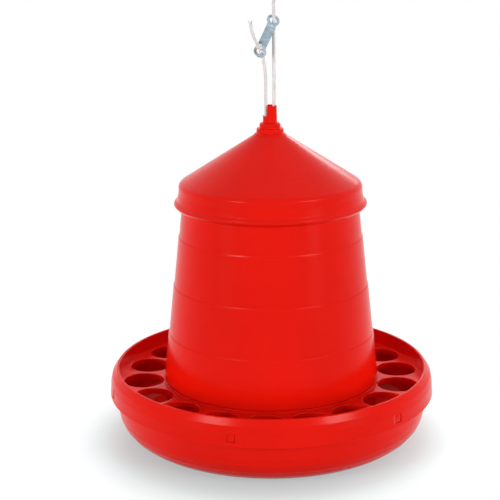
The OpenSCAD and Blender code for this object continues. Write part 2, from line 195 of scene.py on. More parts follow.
def braided_polyester():
    """White braided polyester cord: off-white yarn with shade painted greyer into the valleys between
    the strands, a soft sheen along the threads, and threads 0.2 mm thick across each strand."""
    material, tree = new_material("braided white polyester")
    uv = node(tree, "ShaderNodeUVMap", uv_map="rope").outputs["UV"]
    place = node(tree, "ShaderNodeTexCoord").outputs["Object"]
    relief = node(tree, "ShaderNodeAttribute", attribute_name="relief").outputs["Fac"]
    # painted shade: the braid's colour is greyer the deeper it lies in the valleys between the strands
    tone = node(tree, "ShaderNodeValToRGB", {"Fac": relief}, [(0.0, "#B9B6BE"), (0.35, "#DEDCDF"), (0.8, "#F4F3F1")])
    # handling marks, 8 mm across
    soil = node(tree, "ShaderNodeTexNoise", {"Vector": place}, Scale=120, Detail=3)
    tint = node(tree, "ShaderNodeValToRGB", {"Fac": soil.outputs["Fac"]}, [(0.35, "#F1EEEC"), (0.65, "#FFFFFF")])
    mixed = node(tree, "ShaderNodeMix", data_type="RGBA", blend_type="MULTIPLY")
    mixed.inputs["Factor"].default_value = 1.0
    tree.links.new(tone.outputs["Color"], mixed.inputs["A"])
    tree.links.new(tint.outputs["Color"], mixed.inputs["B"])
    squeeze = node(tree, "ShaderNodeMapping", {"Vector": uv}, Scale=(5000, 900, 1))
    threads = node(tree, "ShaderNodeTexNoise", {"Vector": squeeze.outputs[0]}, Scale=1, Detail=2)
    bump = node(tree, "ShaderNodeBump", {"Height": threads.outputs["Fac"]}, Strength=0.5, Distance=0.00008)
    finish_material(tree, node(
        tree, "ShaderNodeBsdfPrincipled", {"Base Color": mixed.outputs["Result"], "Normal": bump.outputs["Normal"]},
        Roughness=0.75, IOR=1.5, Sheen_Weight=0.25, Sheen_Roughness=0.5))
    return material


RED = moulded_polypropylene()
NYLON = moulded_nylon()
ZINC_STRIP = zinc_plate("bright zinc plated strip", (6000, 6000, 700))    # lines 0.17 mm wide along the strip
ZINC_ROD = zinc_plate("bright zinc plated rod", (5000, 5000, 5000))       # an even grain of 0.2 mm
ROPE = braided_polyester()


# ---------------------------------------------------------------- making meshes


def link(name, mesh, body, material, nodes=()):
    """Puts a finished mesh in the scene as one piece."""
    obj = bpy.data.objects.new(name, mesh)
    bpy.context.scene.collection.objects.link(obj)
    mesh.materials.clear()
    mesh.materials.append(material)
    if body:
        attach(obj, body)
    if nodes:
        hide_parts(*nodes)
    return obj


def smooth(mesh):
    mesh.polygons.foreach_set("use_smooth", [True] * len(mesh.polygons))


def mesh_from(points, faces):
    mesh = bpy.data.meshes.new("mesh")
    mesh.from_pydata([tuple(p) for p in points], [], faces)
    mesh.validate()
    return mesh


def outwards(mesh):
    """Turns every face outwards, after doubles are merged."""
    bm = bmesh.new()
    bm.from_mesh(mesh)
    bmesh.ops.remove_doubles(bm, verts=bm.verts, dist=1e-6)
    bmesh.ops.recalc_face_normals(bm, faces=bm.faces)
    bm.to_mesh(mesh)
    bm.free()


def rounded(corners, turn=math.radians(15), hold=0.5):
    """A closed section in millimetres from (r, z, radius) corners. Each corner becomes an arc
    with a point every turn, and long sides get a point hold from each end to keep them flat."""
    most = 0.48    # share of a side that one arc may take up
    line = []
    count = len(corners)
    for i in range(count):
        a, b, c = (Vector(corners[(i + k) % count][:2]) for k in (-1, 0, 1))
        radius = corners[i][2]
        to_a, to_c = a - b, c - b
        angle = to_a.angle(to_c)
        if radius <= 0 or angle > math.pi - 0.01:
            line.append(b)
            continue
        reach = min(radius / math.tan(angle / 2), most * to_a.length, most * to_c.length)
        radius = reach * math.tan(angle / 2)
        start, end = b + to_a.normalized() * reach, b + to_c.normalized() * reach
        middle = b + (to_a.normalized() + to_c.normalized()).normalized() * (radius / math.sin(angle / 2))
        steps = max(2, math.ceil((math.pi - angle) / turn))
        first, last = start - middle, end - middle
        sweep = first.angle_signed(last)
        for k in range(steps + 1):
            t = -sweep * k / steps
            line.append(middle + Vector((first.x * math.cos(t) - first.y * math.sin(t),
                                         first.x * math.sin(t) + first.y * math.cos(t))))
    full = []
    for i, p in enumerate(line):
        q = line[(i + 1) % len(line)]
        full.append(p)
        side = q - p
        if side.length > 4 * hold:
            full.append(p + side.normalized() * hold)
            full.append(q - side.normalized() * hold)
    return full


COLUMNS = 320    # faces round each turned shape


def spun(section, angles, skip=None):
    """Turns a closed section about Z. skip(row, column) leaves out a face."""
    rows, columns = len(section), len(angles)
    points = [(p.x * math.cos(a) * MM, p.x * math.sin(a) * MM, p.y * MM) for a in angles for p in section]
    faces = []
    for c in range(columns):
        d = (c + 1) % columns
        for r in range(rows):
            s = (r + 1) % rows
            if skip and skip(r, c):
                continue
            faces.append((c * rows + r, d * rows + r, d * rows + s, c * rows + s))
    return points, faces


def spun_mesh(section):
    mesh = mesh_from(*spun(section, [2 * math.pi * k / COLUMNS for k in range(COLUMNS)]))
    outwards(mesh)
    smooth(mesh)
    return mesh


def joined(meshes):
    """One mesh from several."""
    bm = bmesh.new()
    for mesh in meshes:
        bm.from_mesh(mesh)
    out = bpy.data.meshes.new("joined")
    bm.to_mesh(out)
    bm.free()
    smooth(out)
    return out


def bevelled_block(low, high, radius):
    """A block with rounded edges; low and high are its corners, in millimetres."""
    bm = bmesh.new()
    bmesh.ops.create_cube(bm, size=1)
    size = Vector(high) - Vector(low)
    bmesh.ops.transform(bm, verts=bm.verts, matrix=Matrix.Translation((Vector(low) + size / 2) * MM)
                        @ Matrix.Diagonal((*(size * MM), 1)))
    bmesh.ops.bevel(bm, geom=bm.edges[:], offset=radius * MM, segments=3, profile=0.5, affect="EDGES")
    mesh = bpy.data.meshes.new("block")
    bm.to_mesh(mesh)
    bm.free()
    smooth(mesh)
    return mesh


def ring_tree():
    """Geometry nodes that copy a mesh round the Z axis."""
    tree = bpy.data.node_groups.new("ring of copies", "GeometryNodeTree")
    face = tree.interface
    face.new_socket("Geometry", in_out="INPUT", socket_type="NodeSocketGeometry")
    face.new_socket("Count", in_out="INPUT", socket_type="NodeSocketInt")
    face.new_socket("First angle", in_out="INPUT", socket_type="NodeSocketFloat")
    face.new_socket("Merge distance", in_out="INPUT", socket_type="NodeSocketFloat")
    face.new_socket("Material", in_out="INPUT", socket_type="NodeSocketMaterial")
    face.new_socket("Geometry", in_out="OUTPUT", socket_type="NodeSocketGeometry")
    source = node(tree, "NodeGroupInput").outputs
    points = node(tree, "GeometryNodePoints", {"Count": source["Count"]})
    index = node(tree, "GeometryNodeInputIndex").outputs[0]
    share = node(tree, "ShaderNodeMath", {0: index, 1: source["Count"]}, operation="DIVIDE")
    turn = node(tree, "ShaderNodeMath", {0: share.outputs[0], 2: source["First angle"]}, operation="MULTIPLY_ADD")
    turn.inputs[1].default_value = 2 * math.pi
    spin = node(tree, "ShaderNodeCombineXYZ", {"Z": turn.outputs[0]})
    copies = node(tree, "GeometryNodeInstanceOnPoints",
                  {"Points": points.outputs[0], "Instance": source["Geometry"], "Rotation": spin.outputs[0]})
    real = node(tree, "GeometryNodeRealizeInstances", {"Geometry": copies.outputs[0]})
    merged = node(tree, "GeometryNodeMergeByDistance",
                  {"Geometry": real.outputs[0], "Distance": source["Merge distance"]})
    painted = node(tree, "GeometryNodeSetMaterial",
                   {"Geometry": merged.outputs[0], "Material": source["Material"]})
    node(tree, "NodeGroupOutput", {0: painted.outputs[0]})
    return tree


RING = ring_tree()


def ring_of(mesh, count, first_angle, material, merge=0.0):
    """A mesh with count copies of the given one round the Z axis."""
    obj = bpy.data.objects.new("one of a ring", mesh)
    bpy.context.scene.collection.objects.link(obj)
    modifier = obj.modifiers.new("ring", "NODES")
    modifier.node_group = RING
    values = {"Count": count, "First angle": first_angle, "Merge distance": merge, "Material": material}
    for item in RING.interface.items_tree:
        if item.item_type == "SOCKET" and item.in_out == "INPUT" and item.name in values:
            modifier[item.identifier] = values[item.name]
    graph = bpy.context.evaluated_depsgraph_get()
    out = bpy.data.meshes.new_from_object(obj.evaluated_get(graph))
    bpy.data.objects.remove(obj)
    smooth(out)
    return out


# ---------------------------------------------------------------- rope

ROPE_D = 4.0
# the rope's middle line, in millimetres
ROPE_ROUTES = {
    # the standing strand: from under the rod's eye up to the knot of the hanging loop
    "main": [(0, 0, 321.4), (1, 0, 321.4), (3.2, 0, 321.9), (5.2, 0, 323.1), (6.9, 0, 324.9), (8, 0, 327.2),
             (8.6, 0, 330), (8.5, 0.1, 335), (8, 0.4, 341), (7.1, 0.8, 347), (6.2, 1.2, 353), (5.4, 1.5, 360),
             (5, 1.7, 367), (4.9, 1.8, 375), (4.9, 1.8, 385), (4.9, 1.8, 397), (4.9, 1.8, 409),
             (4.9, 1.8, 421), (4.9, 1.8, 433), (4.9, 1.8, 445), (4.9, 1.8, 457), (4.9, 1.8, 469),
             (4.9, 1.8, 481), (4.9, 1.8, 493), (4.9, 1.8, 505), (4.9, 1.8, 517), (4.9, 1.8, 529),
             (4.9, 1.8, 541), (4.9, 1.8, 550)],
    # the return strand: from under the rod's eye up to the tensioner's lower hole
    "return": [(0, 0, 321.4), (-1, 0, 321.4), (-3.2, 0, 321.9), (-5.2, 0, 323.1), (-6.9, 0, 324.9),
               (-8, 0, 327.2), (-8.6, 0, 330), (-8.5, -0.1, 335), (-8, -0.4, 341), (-7.1, -0.8, 347),
               (-6.2, -1.2, 353), (-5.4, -1.5, 360), (-5, -1.7, 367), (-4.9, -1.8, 375), (-4.9, -1.8, 385),
               (-4.9, -1.8, 396), (-4.9, -1.8, 407), (-4.9, -1.8, 418), (-4.9, -1.8, 428), (-5, -1.9, 437),
               (-5.4, -2.3, 445), (-6.3, -3.4, 453), (-7.9, -5.4, 461), (-9.9, -8, 468), (-10.9, -9.4, 471.5)],
    # the hanging loop: out of the knot, round and back into it
    "loop": [(7.3, 1.8, 558), (8.7, 1.8, 563), (11.3, 1.8, 570), (14.1, 1.8, 578), (16.1, 1.8, 586),
             (16.5, 1.8, 593), (15.1, 1.8, 600), (11.7, 1.8, 605.5), (7.7, 1.8, 608), (4.9, 1.8, 608.5),
             (2.1, 1.8, 608), (-1.9, 1.8, 605.5), (-5.3, 1.8, 600), (-6.7, 1.8, 593), (-6.3, 1.8, 586),
             (-4.3, 1.8, 578), (-1.5, 1.8, 570), (1.1, 1.8, 563), (2.5, 1.8, 558)],
    # the tail: out of the stopper knot to the cut end
    "tail": [(-14, -12.6, 478), (-16.4, -12.9, 482), (-18.9, -12.9, 487.6), (-20.8, -12.7, 494),
             (-22, -12.4, 500.6)],
}
END_KNOT_AT = Vector((-12.4, -12.2, 475.6))
LOOP_KNOT_AT = Vector((4.9, 1.8, 554))
STRANDS = 8          # each way round the braid
BRAID_PITCH = 12.5   # one strand's turn round the rope, millimetres
BRAID_RELIEF = 0.2   # depth of the valleys between the strands
CUT_END_RELIEF = 0.6  # where the cut end lies between the painted shade of the valleys and the crests, for its colour
RING_STEP = 0.32
RING_SIDES = 32


def smooth_line(points, step):
    """A smooth line through the points, with a point every step."""
    fineness = 24    # short chords between two points, before they are spaced evenly
    points = [Vector(p) for p in points]
    ends = [2 * points[0] - points[1], *points, 2 * points[-1] - points[-2]]
    fine = []
    for a, b, c, d in zip(ends, ends[1:], ends[2:], ends[3:]):
        for k in range(fineness):
            t = k / fineness
            fine.append(0.5 * (2 * b + (c - a) * t + (2 * a - 5 * b + 4 * c - d) * t * t
                               + (3 * b - a - 3 * c + d) * t ** 3))
    fine.append(points[-1])
    reach = [0.0]
    for p, q in zip(fine, fine[1:]):
        reach.append(reach[-1] + (q - p).length)
    count = max(3, round(reach[-1] / step))
    out, i = [], 0
    for k in range(count + 1):
        want = reach[-1] * k / count
        while i < len(fine) - 2 and reach[i + 1] < want:
            i += 1
        span = reach[i + 1] - reach[i]
        out.append(fine[i].lerp(fine[i + 1], (want - reach[i]) / span if span else 0))
    return out


def line_length(points):
    return sum((b - a).length for a, b in zip(points, points[1:]))


def braid_relief(turn, along):
    """Height of the braid, 0 to 1, at a share of a turn and a distance along the rope."""
    u = STRANDS * turn + along * STRANDS / BRAID_PITCH
    v = STRANDS * turn - along * STRANDS / BRAID_PITCH
    fu, fv = u % 1, v % 1
    over, under = (fu, fv) if (math.floor(u) + math.floor(v)) % 2 else (fv, fu)
    return math.sin(math.pi * over) ** 0.6 * (0.45 + 0.55 * math.sin(math.pi * under) ** 0.7)


def rope_mesh(line, diameter, relief=BRAID_RELIEF, sides=RING_SIDES, tip=1.0):
    """A braided tube along a line in millimetres, with closed ends. tip is its last ring's size
    as a share of the first."""
    tangents = [(line[min(i + 1, len(line) - 1)] - line[max(i - 1, 0)]).normalized() for i in range(len(line))]
    across = tangents[0].cross(Vector((0, 1, 0))).normalized()
    points, heights, run = [], [], 0.0
    rings = len(line)
    for i, (p, t) in enumerate(zip(line, tangents)):
        across = (across - t * across.dot(t)).normalized()
        side = t.cross(across)
        if i:
            run += (p - line[i - 1]).length
        size = 1 - (1 - tip) * i / (rings - 1)
        for k in range(sides):
            a = 2 * math.pi * k / sides
            h = braid_relief(k / sides, run)
            r = (diameter / 2 - relief * (1 - h)) * size
            points.append((p + (across * math.cos(a) + side * math.sin(a)) * r) * MM)
            heights.append(h)
    faces, uvs = [], []
    along = line_length(line) * MM / (rings - 1)
    around = math.pi * diameter * MM / sides
    for i in range(rings - 1):
        for k in range(sides):
            n = (k + 1) % sides
            faces.append((i * sides + k, i * sides + n, (i + 1) * sides + n, (i + 1) * sides + k))
            uvs.append([(k * around, i * along), ((k + 1) * around, i * along),
                        ((k + 1) * around, (i + 1) * along), (k * around, (i + 1) * along)])
    for ring in (0, rings - 1):
        middle = len(points)
        points.append(line[ring] * MM)
        heights.append(CUT_END_RELIEF)
        for k in range(sides):
            a, b = ring * sides + k, ring * sides + (k + 1) % sides
            faces.append((middle, a, b) if ring else (middle, b, a))
            uvs.append([(0, 0)] * 3)
    mesh = mesh_from(points, faces)
    layer = mesh.uv_layers.new(name="rope")
    for face, corners in zip(mesh.polygons, uvs):
        for loop, uv in zip(face.loop_indices, corners):
            layer.data[loop].uv = uv
    height = mesh.attributes.new("relief", "FLOAT", "POINT")
    height.data.foreach_set("value", heights)
    smooth(mesh)
    return mesh


def make_strand(name, route, body, cad_node):
    line = smooth_line(ROPE_ROUTES[route], RING_STEP)
    return link(name, rope_mesh(line, ROPE_D), body, ROPE, [cad_node]), line


def overhand_knot():
    """The stopper knot over the tensioner's lower hole, pulled tight."""
    size, depth, points = 1.15, 1.15, 160
    squeezed = 0.82    # how thin the rope is where the knot is pulled tight
    tilt = Matrix.Rotation(math.radians(-28), 3, "X") @ Matrix.Rotation(math.radians(20), 3, "Y")
    line = []
    for k in range(points):
        t = 2 * math.pi * k / points
        p = Vector((math.sin(t) + 2 * math.sin(2 * t), math.cos(t) - 2 * math.cos(2 * t), -depth * math.sin(3 * t)))
        line.append(END_KNOT_AT + tilt @ (p * size))
    return rope_mesh(smooth_line(line, RING_STEP), ROPE_D * squeezed)


def wrapped_knot():
    """The knot of the hanging loop: three turns wrapped round both strands."""
    radius, pitch, turns, per_turn = 3.5, 3.7, 3, 40
    squeezed = 0.9
    line = []
    for k in range(turns * per_turn + 1):
        a = 2 * math.pi * k / per_turn
        line.append(LOOP_KNOT_AT + Vector((radius * math.cos(a), radius * math.sin(a),
                                           pitch * (k / per_turn - turns / 2))))
    return rope_mesh(smooth_line(line, RING_STEP), ROPE_D * squeezed)


def frayed_end(line):
    """Loose yarns at the cut end of the rope, spread like a small brush."""
    yarns, length, diameter, root_r = 22, 6.5, 0.44, 1.6
    spiral = 2.4    # turn from one yarn to the next, which spreads them evenly
    end, way = line[-1], (line[-1] - line[-4]).normalized()
    side = way.orthogonal().normalized()
    meshes = []
    for k in range(yarns):
        a = spiral * k
        r = root_r * math.sqrt((k + 0.5) / yarns)
        out = side * math.cos(a) + way.cross(side) * math.sin(a)
        reach = length * (0.7 + 0.3 * math.sin(5 * k + 1))
        route = [end - way * 1.5 + out * r * 0.9, end + way * reach * 0.35 + out * r * 1.25,
                 end + way * reach * 0.7 + out * r * 1.9, end + way * reach + out * r * 2.5]
        meshes.append(rope_mesh(smooth_line(route, 0.8), diameter, relief=0, sides=6, tip=0.4))
    return meshes


main_strand, main_line = make_strand("rope_standing_strand", "main", "root", "rope_main")
return_strand, return_line = make_strand("rope_return_strand", "return", None, "rope_return")
loop, loop_line = make_strand("rope_hanging_loop", "loop", "root", "hanging_loop")
loop_knot = link("rope_loop_knot", wrapped_knot(), "root", ROPE, ["loop_knot"])
end_knot = link("rope_end_knot", overhand_knot(), "tensioner", ROPE, ["end_knot"])
tail_line = smooth_line(ROPE_ROUTES["tail"], RING_STEP)
tail = link("rope_tail_end", joined([rope_mesh(tail_line, ROPE_D * 0.95)] + frayed_end(tail_line)),
            "tensioner", ROPE, ["rope_tail"])
# the return strand lengthens between the lid and the tensioner as the tensioner slides
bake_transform(return_strand)


# ---------------------------------------------------------------- rope tensioner

STRAP_AT = Vector((-3.6, -3.7, 487))
STRAP_LEAN, STRAP_PITCH = math.radians(25), math.radians(6)
STRAP_LENGTH, STRAP_WIDTH, STRAP_THICK = 23.0, 11.0, 1.5
TAB_BEND, BEND_R, HOLE_REACH = math.radians(50), 2.1, 8.5
END_R, ROPE_HOLE_R, STRAP_EDGE = 7.75, 4.5, 0.35
# along the strip from its middle: to where the bend starts, to where it ends, and to the hole's middle
BEND_FROM = STRAP_LENGTH / 2
BEND_TO = BEND_FROM + BEND_R * TAB_BEND
HOLE_AT = BEND_TO + HOLE_REACH


def half_width(x):
    """Half the strip's width at a distance x from its middle, before it is bent."""
    past = abs(x) - HOLE_AT
    ring = math.sqrt(max(0.0, END_R ** 2 - past ** 2))
    return ring if past > 0 else max(STRAP_WIDTH / 2, ring)


def bent(x, y, w):
    """Where a point of the flat strip lands: x along, w across, y through its thickness."""
    way = 1 if x >= 0 else -1
    along = abs(x)
    if along <= BEND_FROM:
        return Vector((w, y, x))
    a = min((along - BEND_FROM) / BEND_R, TAB_BEND)
    rest = max(0.0, along - BEND_TO)
    r = BEND_R - y * way
    return Vector((w, way * (BEND_R - r * math.cos(a) + rest * math.sin(a)),
                   way * (BEND_FROM + r * math.sin(a) + rest * math.cos(a))))


def tensioner_mesh():
    """Pressed from strip: a straight middle and two bent, round tabs with a rope hole each."""
    outline_steps, hole_steps, bend_steps = 220, 64, 12
    sharp = 1.2    # angle past which an edge is rounded, in radians
    end = HOLE_AT + END_R
    along = [-end * math.cos(math.pi * k / outline_steps) for k in range(outline_steps + 1)]
    outlines = [[(x, half_width(x)) for x in along] + [(x, -half_width(x)) for x in reversed(along[1:-1])]]
    for way in (-1, 1):
        turns = [2 * math.pi * k / hole_steps for k in range(hole_steps)]
        outlines.append([(way * HOLE_AT + ROPE_HOLE_R * math.cos(a), ROPE_HOLE_R * math.sin(a)) for a in turns])
    bm = bmesh.new()
    edges = []
    for outline in outlines:
        verts = [bm.verts.new((x, y, 0)) for x, y in outline]
        edges += [bm.edges.new((a, b)) for a, b in zip(verts, verts[1:] + verts[:1])]
    bmesh.ops.triangle_fill(bm, use_beauty=True, edges=edges)
    # cuts across the strip let it bend smoothly
    for way in (-1, 1):
        for k in range(bend_steps + 1):
            x = way * (BEND_FROM + (BEND_TO - BEND_FROM) * k / bend_steps)
            bmesh.ops.bisect_plane(bm, geom=bm.verts[:] + bm.edges[:] + bm.faces[:],
                                   plane_co=(x, 0, 0), plane_no=(1, 0, 0), dist=1e-6)
    solid = bmesh.ops.extrude_face_region(bm, geom=bm.faces[:])
    for v in solid["geom"]:
        if isinstance(v, bmesh.types.BMVert):
            v.co.z = 1.0
    bmesh.ops.recalc_face_normals(bm, faces=bm.faces)
    rims = [e for e in bm.edges if len(e.link_faces) == 2
            and e.link_faces[0].normal.angle(e.link_faces[1].normal) > sharp]
    half = STRAP_THICK / 2
    for v in bm.verts:
        v.co.z = half if v.co.z > 0.5 else -half
    bmesh.ops.bevel(bm, geom=rims, offset=STRAP_EDGE, segments=3, profile=0.5, affect="EDGES", clamp_overlap=True)
    turn = Matrix.Rotation(STRAP_PITCH, 3, "X") @ Matrix.Rotation(STRAP_LEAN, 3, "Y")
    for v in bm.verts:
        v.co = (STRAP_AT + turn @ bent(v.co.x, v.co.z, v.co.y)) * MM
    bmesh.ops.recalc_face_normals(bm, faces=bm.faces)
    mesh = bpy.data.meshes.new("tensioner")
    bm.to_mesh(mesh)
    bm.free()
    smooth(mesh)
    return mesh


tensioner = link("tensioner_strip", tensioner_mesh(), "tensioner", ZINC_STRIP, ["rope_tensioner"])


# ---------------------------------------------------------------- feed pan

LUGS, LUG_TURN = 6, math.radians(-14 - 90)
LUG_HALF_WIDTH = 4.2


def feed_pan():
    """A bowl with a thin wall, a curved foot and a cone in the middle that spreads the feed."""
    # radius, height and rounding of each corner, in millimetres
    shell = spun_mesh(rounded([
        (97.7, 0, 3), (189.9, 0, 36), (191.3, 76, 0.8), (188.9, 76, 0.8), (187.5, 2.4, 33.6),
        (102, 2.4, 6), (17, 60, 3), (3.3, 60, 0.3), (3.3, 57.6, 0.3), (16, 57.6, 1.5)]))
    lug = bevelled_block((190.4, -LUG_HALF_WIDTH, 58), (199.2, LUG_HALF_WIDTH, 67.2), 0.7)
    lugs = ring_of(lug, LUGS, LUG_TURN, RED)
    link("pan_bowl", joined([shell, lugs]), "root", RED, ["feed_pan"])


# ---------------------------------------------------------------- grille

HOLES, HOLE_TURN = 18, math.radians(-4 - 90)
HOLE_R, HOLE_RING_R = 24.5, 158.55
PLATE_IN, PLATE_OUT = 132.2, 186.6
PLATE_TOP, PLATE_T, RIM_DEPTH, RIM_T = 67.0, 2.2, 5.0, 1.8
# the collar's outer band starts outside BAND_IN; its windows lie between these heights
BAND_IN, WINDOW_LOW, WINDOW_HIGH = 194.0, 57.61, 67.59


def grille_sector():
    """One eighteenth of the plate: a head hole with a rounded edge and the rim below it."""
    half, whole = math.pi / HOLES, 2 * math.pi
    around = 96    # points round the hole

    def reach(a):
        """How far the sector's edge is from the hole's middle, in the direction a."""
        way = Vector((math.cos(a), math.sin(a)))
        reaches = []
        # the two straight sides
        for side in (1, -1):
            pace = way.dot(Vector((-math.sin(half), side * math.cos(half))))
            if pace > 1e-9:
                reaches.append(HOLE_RING_R * math.sin(half) / pace)
        # the outer and the inner arc
        for r, side in ((PLATE_OUT, 1), (PLATE_IN, -1)):
            along = HOLE_RING_R * way.x
            inside = along ** 2 - HOLE_RING_R ** 2 + r ** 2
            if inside > 0:
                reaches.append(side * math.sqrt(inside) - along)
        return min(t for t in reaches if t > 0)

    angles = [whole * k / around for k in range(around)]
    # the nearest point to each of the sector's four corners moves into it
    for r in (PLATE_OUT, PLATE_IN):
        for side in (1, -1):
            corner = math.atan2(side * r * math.sin(half), r * math.cos(half) - HOLE_RING_R) % whole
            angles[round(corner / whole * around) % around] = corner
    angles.sort()
    fillet, rim_r = 0.9, HOLE_R + RIM_T
    top, low = PLATE_TOP, PLATE_TOP - PLATE_T
    foot = low - RIM_DEPTH
    # each ring's radius and height, from the top face over the fillet and down round the rim
    rings = [(math.inf, top), (HOLE_R + fillet + 0.3, top)]
    rings += [(HOLE_R + fillet * (1 - math.sin(a)), top - fillet * (1 - math.cos(a)))
              for a in (math.pi / 2 * k / 5 for k in range(6))]
    rings += [(HOLE_R, foot + 0.5), (HOLE_R + 0.15, foot + 0.15), (HOLE_R + 0.5, foot), (rim_r - 0.4, foot),
              (rim_r - 0.1, foot + 0.1), (rim_r, foot + 0.4), (rim_r, low), (math.inf, low)]
    flat_edge = 0.02    # narrowest strip between the hole's fillet and the sector's edge
    points, faces = [], []
    for i, (size, z) in enumerate(rings):
        for a in angles:
            r = min(size, reach(a) - (flat_edge if i == 1 else 0))
            points.append(((HOLE_RING_R + r * math.cos(a)) * MM, r * math.sin(a) * MM, z * MM))
    n = len(angles)
    for i in range(len(rings) - 1):
        for k in range(n):
            m = (k + 1) % n
            faces.append((i * n + k, i * n + m, (i + 1) * n + m, (i + 1) * n + k))
    return mesh_from(points, faces)


def grille_collar():
    """The outer band that grips the pan's rim, with a window for each snap lug."""
    section = rounded([
        (185.9, 64.8, 0.3), (188.7, 84, 1), (191.4, 84, 1.6), (197.2, 76.2, 3), (199.05, 67.6, 0),
        (199.7, 57.6, 0), (200.3, 52.6, 0.7), (197.9, 52.6, 0.7), (197.3, 57.6, 0), (196.1, 67.6, 0),
        (194.4, 73, 2), (192.3, 76, 0.5), (188.4, 76, 0.5), (187.9, 64.8, 0.3)])
    window = math.radians(1.32)    # half a window's angle
    steps = 52                     # columns of faces between two windows
    apart = 2 * math.pi / LUGS
    centres = [LUG_TURN + apart * k for k in range(LUGS)]
    angles = []
    for middle in centres:
        angles += [middle - window, middle]
        angles += [middle + window + (apart - 2 * window) * k / steps for k in range(steps)]
    angles.sort()

    def in_window(row, column):
        """Whether a face of the section lies in a window, on the outer or the inner side."""
        p, q = section[row], section[(row + 1) % len(section)]
        if not WINDOW_LOW < (p.y + q.y) / 2 < WINDOW_HIGH or min(p.x, q.x) < BAND_IN:
            return False
        a = angles[column] + 1e-4
        return any(-window < (a - c + math.pi) % (2 * math.pi) - math.pi < window for c in centres)

    points, faces = spun(section, angles, skip=in_window)
    bm = bmesh.new()
    verts = [bm.verts.new(p) for p in points]
    for f in faces:
        bm.faces.new([verts[i] for i in f])
    bmesh.ops.recalc_face_normals(bm, faces=bm.faces)
    open_edges = [e for e in bm.edges if len(e.link_faces) == 1]
    # each window's outer and inner openings are joined by its four sides
    for c in centres:
        way = Vector((math.cos(c), math.sin(c), 0))
        bmesh.ops.bridge_loops(bm, edges=[e for e in open_edges if e.verts[0].co.normalized().dot(way) > 0.9])
    bmesh.ops.recalc_face_normals(bm, faces=bm.faces)
    mesh = bpy.data.meshes.new("collar")
    bm.to_mesh(mesh)
    bm.free()
    smooth(mesh)
    return mesh


def feed_grille():
    """The plate with its head holes, the neck round the hopper's foot and the collar over the pan's rim."""
    plate = ring_of(grille_sector(), HOLES, HOLE_TURN, RED, merge=0.02 * MM)
    outwards(plate)
    neck = spun_mesh(rounded([(132, 64.8, 0.3), (132, 70, 0.7), (133.6, 70, 0.7), (133.6, 64.8, 0.3)]))
    link("grille_guard", joined([plate, neck, grille_collar()]), "root", RED, ["feed_grille"])


# ---------------------------------------------------------------- hopper

SKIRT_R, TIER_FOOT_R, HOPPER_TOP_R = 131.4, 132.4, 106.2
TIER_FOOT_Z, HOPPER_TOP_Z, HOPPER_LOW_Z, STRAIGHT_TOP = 71.0, 303.0, 34.0, 11.0
LEDGES = [128.3, 188.3, 248.3]
LEDGE_IN, LEDGE_HALF_HEIGHT, LEDGE_ROUNDING = 1, 0.8, 1.1
TAPER = (TIER_FOOT_R - len(LEDGES) * LEDGE_IN - HOPPER_TOP_R) / (HOPPER_TOP_Z - STRAIGHT_TOP - TIER_FOOT_Z)
HOPPER_WALL, BOSSES, BOSS_Z = 2.2, 4, 102.4


def hopper_side(inset):
    """The hopper's outline from its skirt up to its rim, with a softened ledge at each tier."""
    line = [(SKIRT_R - inset, TIER_FOOT_Z - 1.4, 0.5), (TIER_FOOT_R - inset, TIER_FOOT_Z, 0.5)]
    for i, z in enumerate(LEDGES):
        r = TIER_FOOT_R - inset - (z - TIER_FOOT_Z) * TAPER - i * LEDGE_IN
        line += [(r, z - LEDGE_HALF_HEIGHT, LEDGE_ROUNDING), (r - LEDGE_IN, z + LEDGE_HALF_HEIGHT, LEDGE_ROUNDING)]
    return line + [(HOPPER_TOP_R - inset, HOPPER_TOP_Z - STRAIGHT_TOP, 3)]


def hopper():
    """The tapered barrel, open at both ends, with four bosses inside for the spider."""
    outer = [(SKIRT_R, HOPPER_LOW_Z, 0.9)] + hopper_side(0)
    rim = [(HOPPER_TOP_R - 0.2, HOPPER_TOP_Z - 4, 0.4), (HOPPER_TOP_R + 1.2, HOPPER_TOP_Z - 3, 0.5),
           (HOPPER_TOP_R + 1.2, HOPPER_TOP_Z, 0.6), (HOPPER_TOP_R - 0.4 - HOPPER_WALL, HOPPER_TOP_Z, 0.6)]
    inner = list(reversed([(SKIRT_R - HOPPER_WALL, HOPPER_LOW_Z, 0.9)] + hopper_side(HOPPER_WALL)))
    shell = spun_mesh(rounded(outer + rim + inner))
    wall_r = TIER_FOOT_R - (BOSS_Z - TIER_FOOT_Z) * TAPER - HOPPER_WALL
    boss = bevelled_block((wall_r - 15, -6, BOSS_Z), (wall_r + 0.8, 6, BOSS_Z + 14), 0.8)
    bosses = ring_of(boss, BOSSES, math.radians(45 - 90), RED)
    link("hopper_barrel", joined([shell, bosses]), "hopper", RED, ["hopper"])


# ---------------------------------------------------------------- lid

LID_R, LID_IN_R, LID_LOW_Z = 110.4, 108.2, 283.8
SHOULDER_Z, CONE_LOW_Z, BOSS_LOW_Z, BOSS_R = 307.2, 314.2, 369.2, 21.0
BOSS_TOP_Z, GUIDE_R, GUIDE_BORE_R = 384.6, 8.6, 7.4
GUIDE_LOW, GUIDE_HIGH = BOSS_TOP_Z + 8.4, BOSS_TOP_Z + 20.6
TONGUE_LEFT = 3.6    # how far left of the middle the tongue starts


